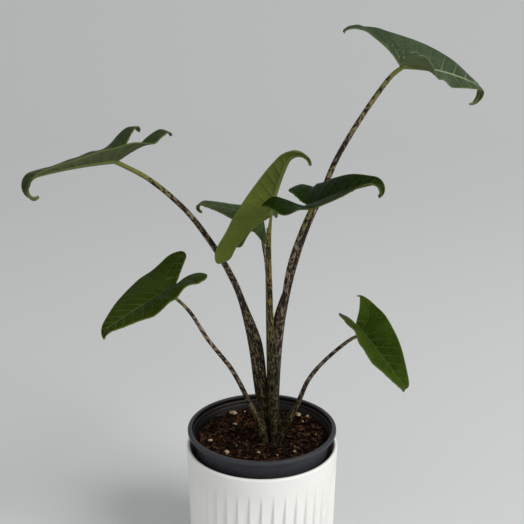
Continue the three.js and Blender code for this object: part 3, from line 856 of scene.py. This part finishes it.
def plain_material(name, **settings):
    """A material whose shader has the given constants, and its tree and shader to build on."""
    material = bpy.data.materials.new(name)
    material.use_nodes = True
    shader = material.node_tree.nodes["Principled BSDF"]
    for label, value in settings.items():
        shader.inputs[label.replace("_", " ")].default_value = value
    return material, material.node_tree, shader


def bumped(tree, shader, height, distance, strength=1.0):
    made = put(tree, "ShaderNodeBump", Height=height, Distance=distance, Strength=strength)
    feed(tree, shader.inputs["Normal"], made.outputs[0])


# Finishes. Scales count features in a millimetre, and bumps are in metres.


def leaf_skin_effect():
    """Leaf tissue: mottled ground, painted sheen on the swellings between the veins and painted shade along
    the sunk veins, a fine net, pale veins and a pale margin.
    """
    inputs = {"Dark": (0.02, 0.04, 0.01), "Light": (0.04, 0.07, 0.02)}
    inputs |= {"Vein": (0.1, 0.13, 0.04), "Margin": (0.1, 0.1, 0.05)}
    inputs |= {"Vein Share": 0.6, "Net Share": 0.2}
    outputs = {"Color": "Color", "Height": "Float", "Gloss": "Float"}
    tree, given, wanted = effect("leaf skin", inputs, outputs)
    flat = attribute(tree, "flat", "Vector")
    vein = attribute(tree, "vein", "Fac")
    edge = attribute(tree, "edge", "Fac")
    patches = fade(tree, cloud(tree, flat, scale=0.035, detail=4, roughness=0.55), 0.32, 0.7)
    specks = fade(tree, cloud(tree, flat, scale=0.9, detail=2, roughness=0.6), 0.3, 0.75)
    ground = blend(tree, patches, given["Dark"], given["Light"])
    ground = blend(tree, calc(tree, "MULTIPLY", specks, 0.22), ground, given["Light"])
    # Painted sheen: the ground is lightened where the blade swells between its veins.
    swelling_sheen = fade(tree, attribute(tree, "swell", "Fac"), 0.1, 0.44, end=0.45)
    ground = blend(tree, swelling_sheen, ground, given["Light"])
    # Painted shade: the ground is darkened along the sunk veins.
    vein_shade = fade(tree, vein, 0.02, 0.3, end=0.35)
    ground = blend(tree, vein_shade, ground, given["Dark"])
    net = put(tree, "ShaderNodeTexVoronoi", {"feature": "DISTANCE_TO_EDGE"}, Vector=flat, Scale=0.36)
    lines = fade(tree, net.outputs["Distance"], 0.0, 0.12, start=1.0, end=0.0)
    ground = blend(tree, calc(tree, "MULTIPLY", lines, given["Net Share"]), ground, given["Vein"])
    shown = calc(tree, "MULTIPLY", fade(tree, vein, 0.15, 0.85), given["Vein Share"])
    ground = blend(tree, shown, ground, given["Vein"])
    rim = fade(tree, edge, 0.4, 0.95, end=0.8)
    feed(tree, wanted["Color"], blend(tree, rim, ground, given["Margin"]))
    grain = cloud(tree, flat, scale=2.4, detail=2)
    height = calc(tree, "ADD", calc(tree, "MULTIPLY", lines, -0.5), calc(tree, "MULTIPLY", grain, 0.5))
    feed(tree, wanted["Height"], height)
    feed(tree, wanted["Gloss"], calc(tree, "MULTIPLY_ADD", cloud(tree, flat, scale=0.08), 0.25, -0.12))
    return tree


def leaf_material(name, skin, tones, roughness, shine, vein_share, net_share):
    dark, light, vein, margin = (tone(*colour) for colour in tones)
    material, tree, shader = plain_material(name, Specular_IOR_Level=shine)
    shown = placed(
        tree,
        skin,
        Dark=dark,
        Light=light,
        Vein=vein,
        Margin=margin,
        Vein_Share=vein_share,
        Net_Share=net_share,
    )
    feed(tree, shader.inputs["Base Color"], shown["Color"])
    feed(tree, shader.inputs["Roughness"], calc(tree, "ADD", shown["Gloss"], roughness))
    bumped(tree, shader, shown["Height"], 0.00012)
    return material


def stalk_material(name, ground, cover, coarse, plain_from, shift):
    """Stalk skin: slanting dark flecks at the foot, broken dark cross bands above, and a plain top.

    ground has the tones of the foot, the middle and the upper part. cover is the level that dark patches
    fill, coarse how far the bands take over from the flecks, and plain_from where they end.
    """
    material, tree, shader = plain_material(name, Roughness=0.42, Specular_IOR_Level=0.08)
    foot, middle, upper = (tone(*colour) for colour in ground)
    part = put(tree, "ShaderNodeSeparateXYZ", Vector=attribute(tree, "straight", "Vector")).outputs
    share = calc(tree, "DIVIDE", part["Z"], plain_from)
    zigzag = calc(tree, "PINGPONG", calc(tree, "ADD", part["X"], part["Y"]), 1.3)
    along = calc(tree, "MULTIPLY_ADD", zigzag, 1.5, part["Z"])
    skewed = put(tree, "ShaderNodeCombineXYZ", X=part["X"], Y=part["Y"], Z=along).outputs[0]
    where = put(tree, "ShaderNodeMapping", Vector=skewed, Location=(shift, 0, shift * 3)).outputs[0]
    flecks = cloud(tree, stretched(tree, where, (0.95, 0.95, 0.36)), detail=2, distortion=0.7)
    bands = cloud(tree, stretched(tree, where, (0.3, 0.3, 0.26)), roughness=0.6, distortion=0.9)
    high = fade(tree, share, 0.3, 0.7, end=coarse)
    low_part = calc(tree, "MULTIPLY", flecks, calc(tree, "SUBTRACT", 1.0, high))
    pattern = calc(tree, "ADD", low_part, calc(tree, "MULTIPLY", bands, high))
    level = fade(tree, share, 0.82, 1.04, start=cover, end=0.34)
    level = calc(tree, "ADD", level, fade(tree, share, 0.1, 0.45, start=0.025, end=0.0))
    dark = fade(tree, calc(tree, "SUBTRACT", pattern, level), -0.014, 0.014, start=1.0, end=0.0)
    patches = fade(tree, cloud(tree, stretched(tree, where, (0.2, 0.2, 0.05))), 0.35, 0.65)
    low_tone = blend(tree, patches, foot, middle)
    high_tone = blend(tree, patches, middle, upper)
    base = blend(tree, fade(tree, share, 0.3, 0.65), low_tone, high_tone)
    base = blend(tree, fade(tree, share, 0.75, 1.0), base, tone(*STALK_TOP))
    grain = cloud(tree, stretched(tree, where, (2.2, 2.2, 0.4)))
    base = blend(tree, fade(tree, grain, 0.35, 0.7, end=0.35), base, foot)
    depth = fade(tree, grain, 0.4, 0.7, start=0.97, end=0.8)
    colour = blend(tree, calc(tree, "MULTIPLY", dark, depth), base, tone(*STALK_BLOTCH))
    seam = fade(tree, attribute(tree, "wing", "Fac"), 0.75, 1.0, end=0.35)
    feed(tree, shader.inputs["Base Color"], blend(tree, seam, colour, foot))
    bumped(tree, shader, calc(tree, "ADD", grain, calc(tree, "MULTIPLY", dark, -0.4)), 0.00015)
    return material


def dust_effect():
    """Specks and smears of soil dust that gather at a height."""
    inputs = {"Level": 100.0, "Spread": 10.0, "Amount": 0.5}
    tree, given, wanted = effect("soil dust", inputs, {"Share": "Float"})
    where = object_place(tree)
    height = put(tree, "ShaderNodeSeparateXYZ", Vector=where).outputs["Z"]
    away = calc(tree, "ABSOLUTE", calc(tree, "SUBTRACT", height, given["Level"]))
    near = fade(tree, calc(tree, "DIVIDE", away, given["Spread"]), 0.0, 1.0, start=1.0, end=0.0)
    specks = fade(tree, cloud(tree, where, scale=0.7, detail=5, roughness=0.65), 0.5, 0.72)
    smears = fade(tree, cloud(tree, where, scale=0.11), 0.4, 0.7)
    both = calc(tree, "MAXIMUM", specks, calc(tree, "MULTIPLY", smears, 0.5))
    both = calc(tree, "MULTIPLY", both, near)
    feed(tree, wanted["Share"], calc(tree, "MULTIPLY", both, given["Amount"]))
    return tree


def cover_pot_material(dust):
    """Satin white glaze that varies a little, with some dust at the foot."""
    constants = {"Roughness": 0.42, "Coat_Weight": 0.15, "Coat_Roughness": 0.25}
    material, tree, shader = plain_material("satin white glaze", **constants)
    where = object_place(tree)
    dirt = placed(tree, dust, Level=0.0, Spread=14.0, Amount=0.12)
    patches = fade(tree, cloud(tree, where, scale=0.02), 0.3, 0.7)
    colour = blend(tree, patches, tone(233, 232, 229), tone(229, 228, 226))
    colour = blend(tree, dirt["Share"], colour, tone(150, 140, 125))
    feed(tree, shader.inputs["Base Color"], colour)
    fine = calc(tree, "MULTIPLY", cloud(tree, where, scale=1.5, detail=2), 0.08)
    bumped(tree, shader, calc(tree, "ADD", cloud(tree, where, scale=0.12, detail=2), fine), 0.0003, 0.5)
    return material


def nursery_pot_material(dust):
    """Black plastic, scuffed and dusted, with painted shade that darkens its inner side."""
    material, tree, shader = plain_material("black moulded plastic", Specular_IOR_Level=0.22)
    where = object_place(tree)
    dirt = placed(tree, dust, Level=112.0, Spread=10.0, Amount=0.5)["Share"]
    scuffs = cloud(tree, stretched(tree, where, (0.3, 0.3, 1.2)), detail=4, roughness=0.6)
    scuffs = fade(tree, scuffs, 0.5, 0.8)
    shaded_inside = attribute(tree, "shaded_inside", "Fac")
    colour = blend(tree, scuffs, tone(50, 52, 56), tone(62, 64, 68))
    # Painted shade: the whole inner side, the lip's inner face included, is made near black.
    colour = blend(tree, shaded_inside, colour, tone(11, 10, 8))
    feed(tree, shader.inputs["Base Color"], blend(tree, dirt, colour, tone(44, 32, 23)))
    rough = calc(tree, "ADD", calc(tree, "MULTIPLY", scuffs, 0.12), 0.42)
    feed(tree, shader.inputs["Roughness"], calc(tree, "MULTIPLY_ADD", dirt, 0.4, rough))
    bumped(tree, shader, cloud(tree, where, scale=1.1), 0.00012)
    return material


def grain_material(name, tones, scale, roughness, depth):
    """Loose matter of a few tones, such as peat, bark or perlite."""
    material, tree, shader = plain_material(name, Roughness=roughness, Specular_IOR_Level=0.1)
    where = object_place(tree)
    mixed, *others = (tone(*colour) for colour in tones)
    for i, colour in enumerate(others):
        even = stretched(tree, where, (scale, scale, scale))
        spots = cloud(tree, even, scale=1.0 + 0.6 * i, detail=4, roughness=0.6)
        mixed = blend(tree, fade(tree, spots, 0.5, 0.62), mixed, colour)
    feed(tree, shader.inputs["Base Color"], mixed)
    bumped(tree, shader, cloud(tree, where, scale=scale * 4, detail=4, roughness=0.7), depth)
    return material


# Tones of the veins and the margin, and the under side of the leaves that hide it
UPPER_VEIN = ((84, 100, 50), (84, 94, 48))
TALL_VEIN = ((122, 134, 102), (92, 104, 64))
UNDER_VEIN = ((104, 116, 66), (98, 104, 62))
HIDDEN_UNDER = ((54, 68, 30), (66, 80, 40))

# Stalk tones from the foot upwards, of the dark patches and of the plain top
OLD_STALK = ((70, 68, 38), (112, 98, 74), (146, 125, 113))
YOUNG_STALK = ((82, 80, 42), (118, 107, 62), (134, 122, 70))
STALK_BLOTCH = (14, 9, 7)
STALK_TOP = (108, 108, 54)

# Each leaf's dark and light tones, its own green together with painted light and shade of where it hangs,
# how clearly its upper veins stand out, how much it shines and how far it swells between its veins, then its
# stalk's dark cover and how far along it the bands reach, in millimetres
LOOKS = {
    "middle": {
        "upper": ((62, 78, 22), (74, 90, 30)),
        "under": ((73, 83, 28), (85, 96, 38)),
        "veins": 0.4, "shine": 0.05, "swelling": 0.16, "cover": 0.515, "plain_from": 205,
    },
    "back": {
        "upper": ((38, 52, 24), (54, 68, 36)),
        "veins": 0.3, "shine": 0.06, "swelling": 0.4, "cover": 0.51, "plain_from": 190,
    },
    "tall": {
        "upper": ((36, 50, 30), (54, 68, 44)),
        "upper_vein": TALL_VEIN,
        "under": ((66, 78, 42), (80, 92, 54)),
        "veins": 1.0, "shine": 0.06, "swelling": 0.45, "cover": 0.545, "plain_from": 325,
    },
    "right": {
        "upper": ((9, 25, 0), (20, 40, 2)),
        "veins": 0.22, "shine": 0.025, "swelling": 0.2, "cover": 0.53, "plain_from": 232,
    },
    "left": {
        "upper": ((30, 44, 16), (42, 58, 24)),
        "under": ((62, 72, 40), (72, 84, 50)),
        "veins": 0.5, "shine": 0.06, "swelling": 0.45, "cover": 0.55, "plain_from": 285,
    },
    "low_right": {
        "upper": ((24, 40, 2), (49, 65, 10)),
        "veins": 0.4, "shine": 0.025, "swelling": 0.34, "cover": 0.52, "plain_from": 152,
    },
    "low_left": {
        "upper": ((25, 38, 1), (39, 53, 5)),
        "veins": 0.48, "shine": 0.025, "swelling": 0.26, "cover": 0.52, "plain_from": 188,
    },
}
YOUNG = "middle"

# Loose matter: its tones, its roughness and the depth of its bumps
MATTER_SCALE = 0.4
MATTER = {
    "crumbs": ("soil crumbs", ((15, 10, 7), (42, 24, 14), (26, 16, 10)), 0.95, 0.0005),
    "bark": ("bark chips", ((44, 25, 15), (74, 43, 25), (104, 70, 42)), 0.85, 0.0005),
    "fibres": ("coir fibre", ((60, 38, 22), (94, 68, 40), (120, 92, 58)), 0.85, 0.0003),
    "perlite": ("perlite", ((168, 144, 112), (200, 182, 152), (122, 94, 62)), 0.9, 0.0004),
}
PEAT_TONES = ((17, 11, 8), (34, 20, 12), (66, 38, 23))


def leaf_and_stalk(name, leaf, skin, shift):
    """A leaf's blade and stalk in their own materials. The shift sets the stalk's pattern apart."""
    looks = LOOKS[name]
    young = "young_" if name == YOUNG else ""
    shine = looks["shine"]
    tones = looks["upper"] + looks.get("upper_vein", UPPER_VEIN)
    upper = leaf_material(f"{name} leaf upper", skin, tones, 0.36, shine, looks["veins"], 0.12)
    tones = looks.get("under", HIDDEN_UNDER) + UNDER_VEIN
    under = leaf_material(f"{name} leaf under", skin, tones, 0.5, shine, 0.7, 0.18)
    blade_piece(name, blade_sheet(leaf, looks["swelling"]), [upper, under])
    tones, coarse = (YOUNG_STALK, 0.3) if young else (OLD_STALK, 1.0)
    coat = stalk_material(f"{name} stalk skin", tones, looks["cover"], coarse, looks["plain_from"], shift)
    finished_piece(f"{name}_stalk", stalk_shape(leaf), [coat], f"stalk_{name}")


def dress():
    skin, dust = leaf_skin_effect(), dust_effect()
    for number, (name, leaf) in enumerate(LEAVES.items()):
        leaf_and_stalk(name, leaf, skin, 11.0 * number)
    glaze, plastic = cover_pot_material(dust), nursery_pot_material(dust)
    finished_piece("pleated_pot", cover_pot_shape(), [glaze], "cover_pot")
    finished_piece("inner_pot", nursery_pot_shape(), [plastic], "nursery_pot")
    peat = grain_material("peat and coir", PEAT_TONES, 0.35, 0.95, 0.0008)
    finished_piece("soil_bed", soil_shape(), [peat], "soil")
    for name, (label, tones, roughness, depth) in MATTER.items():
        shape = grains_shape(**GRAINS[name]) if name in GRAINS else chips_shape()
        material = grain_material(label, tones, MATTER_SCALE, roughness, depth)
        finished_piece(f"soil_{name}", shape, [material], None)


# Stage, lights and camera. Places are in metres and powers in watts.
FLOOR = {"half_size": 4, "rows": 24, "rises_from": 1.2, "rise": 0.35, "color": (0.63, 0.65, 0.655, 1)}
LIGHT_AIM = (0, 0, 0.2)
LIGHTS = {
    "window": {"place": (1.7, -1.2, 1.7), "size": 1.5, "power": 54, "color": (1.0, 0.99, 0.97)},
    "fill": {"place": (-1.6, -1.6, 1.2), "size": 2.0, "power": 5, "color": (1.0, 1.0, 1.0)},
}
STUDIO = {"color": (0.9, 0.9, 0.89, 1), "strength": 0.55}
CAMERA = {"place": (0, -0.8816, 0.5828), "pitch": 19.98, "lens": 83.8, "sensor": 36}


def add_object(name, data):
    made = bpy.data.objects.new(name, data)
    bpy.context.scene.collection.objects.link(made)
    return made


def add_floor():
    """A pale floor that curves up behind the object."""
    sheet = bmesh.new()
    bmesh.ops.create_grid(sheet, x_segments=1, y_segments=FLOOR["rows"], size=FLOOR["half_size"])
    for vert in sheet.verts:
        vert.co.z = FLOOR["rise"] * max(0.0, vert.co.y - FLOOR["rises_from"]) ** 2
    mesh = bpy.data.meshes.new("floor")
    sheet.to_mesh(mesh)
    sheet.free()
    mesh.shade_smooth()
    material, _, shader = plain_material("pale floor", Roughness=0.8)
    shader.inputs["Base Color"].default_value = FLOOR["color"]
    mesh.materials.append(material)
    ground = add_object("floor", mesh)


def add_lights():
    for name, given in LIGHTS.items():
        lamp = bpy.data.lights.new(name, "AREA")
        lamp.size, lamp.energy, lamp.color = given["size"], given["power"], given["color"]
        light = add_object(name, lamp)
        light.location = given["place"]
        aim = Vector(LIGHT_AIM) - light.location
        light.rotation_euler = aim.to_track_quat("-Z", "Y").to_euler()
    world = bpy.data.worlds.new("studio")
    world.use_nodes = True
    background = world.node_tree.nodes["Background"]
    background.inputs["Color"].default_value = STUDIO["color"]
    background.inputs["Strength"].default_value = STUDIO["strength"]
    bpy.context.scene.world = world
    bpy.context.scene.view_settings.view_transform = "Standard"


def add_camera():
    lens = bpy.data.cameras.new("camera")
    lens.sensor_width = CAMERA["sensor"]
    lens.lens = CAMERA["lens"]
    eye = add_object("camera", lens)
    eye.location = CAMERA["place"]
    eye.rotation_euler = (math.radians(90 - CAMERA["pitch"]), 0, 0)
    bpy.context.scene.camera = eye


add_camera()
add_floor()
add_lights()
dress()
